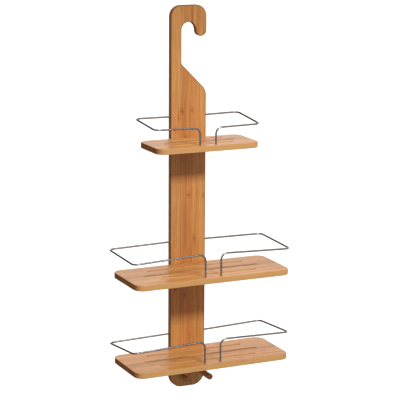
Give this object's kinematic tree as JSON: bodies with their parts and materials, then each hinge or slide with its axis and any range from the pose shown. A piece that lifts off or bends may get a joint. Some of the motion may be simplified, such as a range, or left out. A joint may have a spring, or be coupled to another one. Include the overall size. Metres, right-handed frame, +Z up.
{
  "type": "shower caddy",
  "caption": "Bamboo shower caddy whose hooked back board hangs over a shower arm, with slotted shelves, bent wire rails and dowel pegs.",
  "frame": {"origin": "top of the hook's throat, halfway through the board's thickness, where the shower arm lies", "axes": "+Z up along the board, -Y out of the front towards the user, +X to the user's right, the side the hook opens to"},
  "size_m": [0.3234, 0.136, 0.739],
  "materials": {
    "board_bamboo": "satin lacquered vertical-grain bamboo",
    "shelf_bamboo": "satin lacquered bamboo, strips along the shelf",
    "peg_bamboo": "satin lacquered bamboo dowel",
    "rail_wire": "satin stainless wire",
    "screw_steel": "plain stainless"
  },
  "bodies": {
    "root": {"back_board": "board_bamboo", "top_shelf": "shelf_bamboo", "top_rail_left": "rail_wire", "top_shelf_screw_left": "screw_steel", "top_rail_right": "rail_wire", "top_shelf_screw_right": "screw_steel", "middle_shelf": "shelf_bamboo", "middle_rail_left": "rail_wire", "middle_shelf_screw_left": "screw_steel", "middle_rail_right": "rail_wire", "middle_shelf_screw_right": "screw_steel", "bottom_shelf": "shelf_bamboo", "bottom_rail_left": "rail_wire", "bottom_shelf_screw_left": "screw_steel", "bottom_rail_right": "rail_wire", "bottom_shelf_screw_right": "screw_steel", "peg_left": "peg_bamboo", "peg_right": "peg_bamboo"}
  },
  "joints": []
}
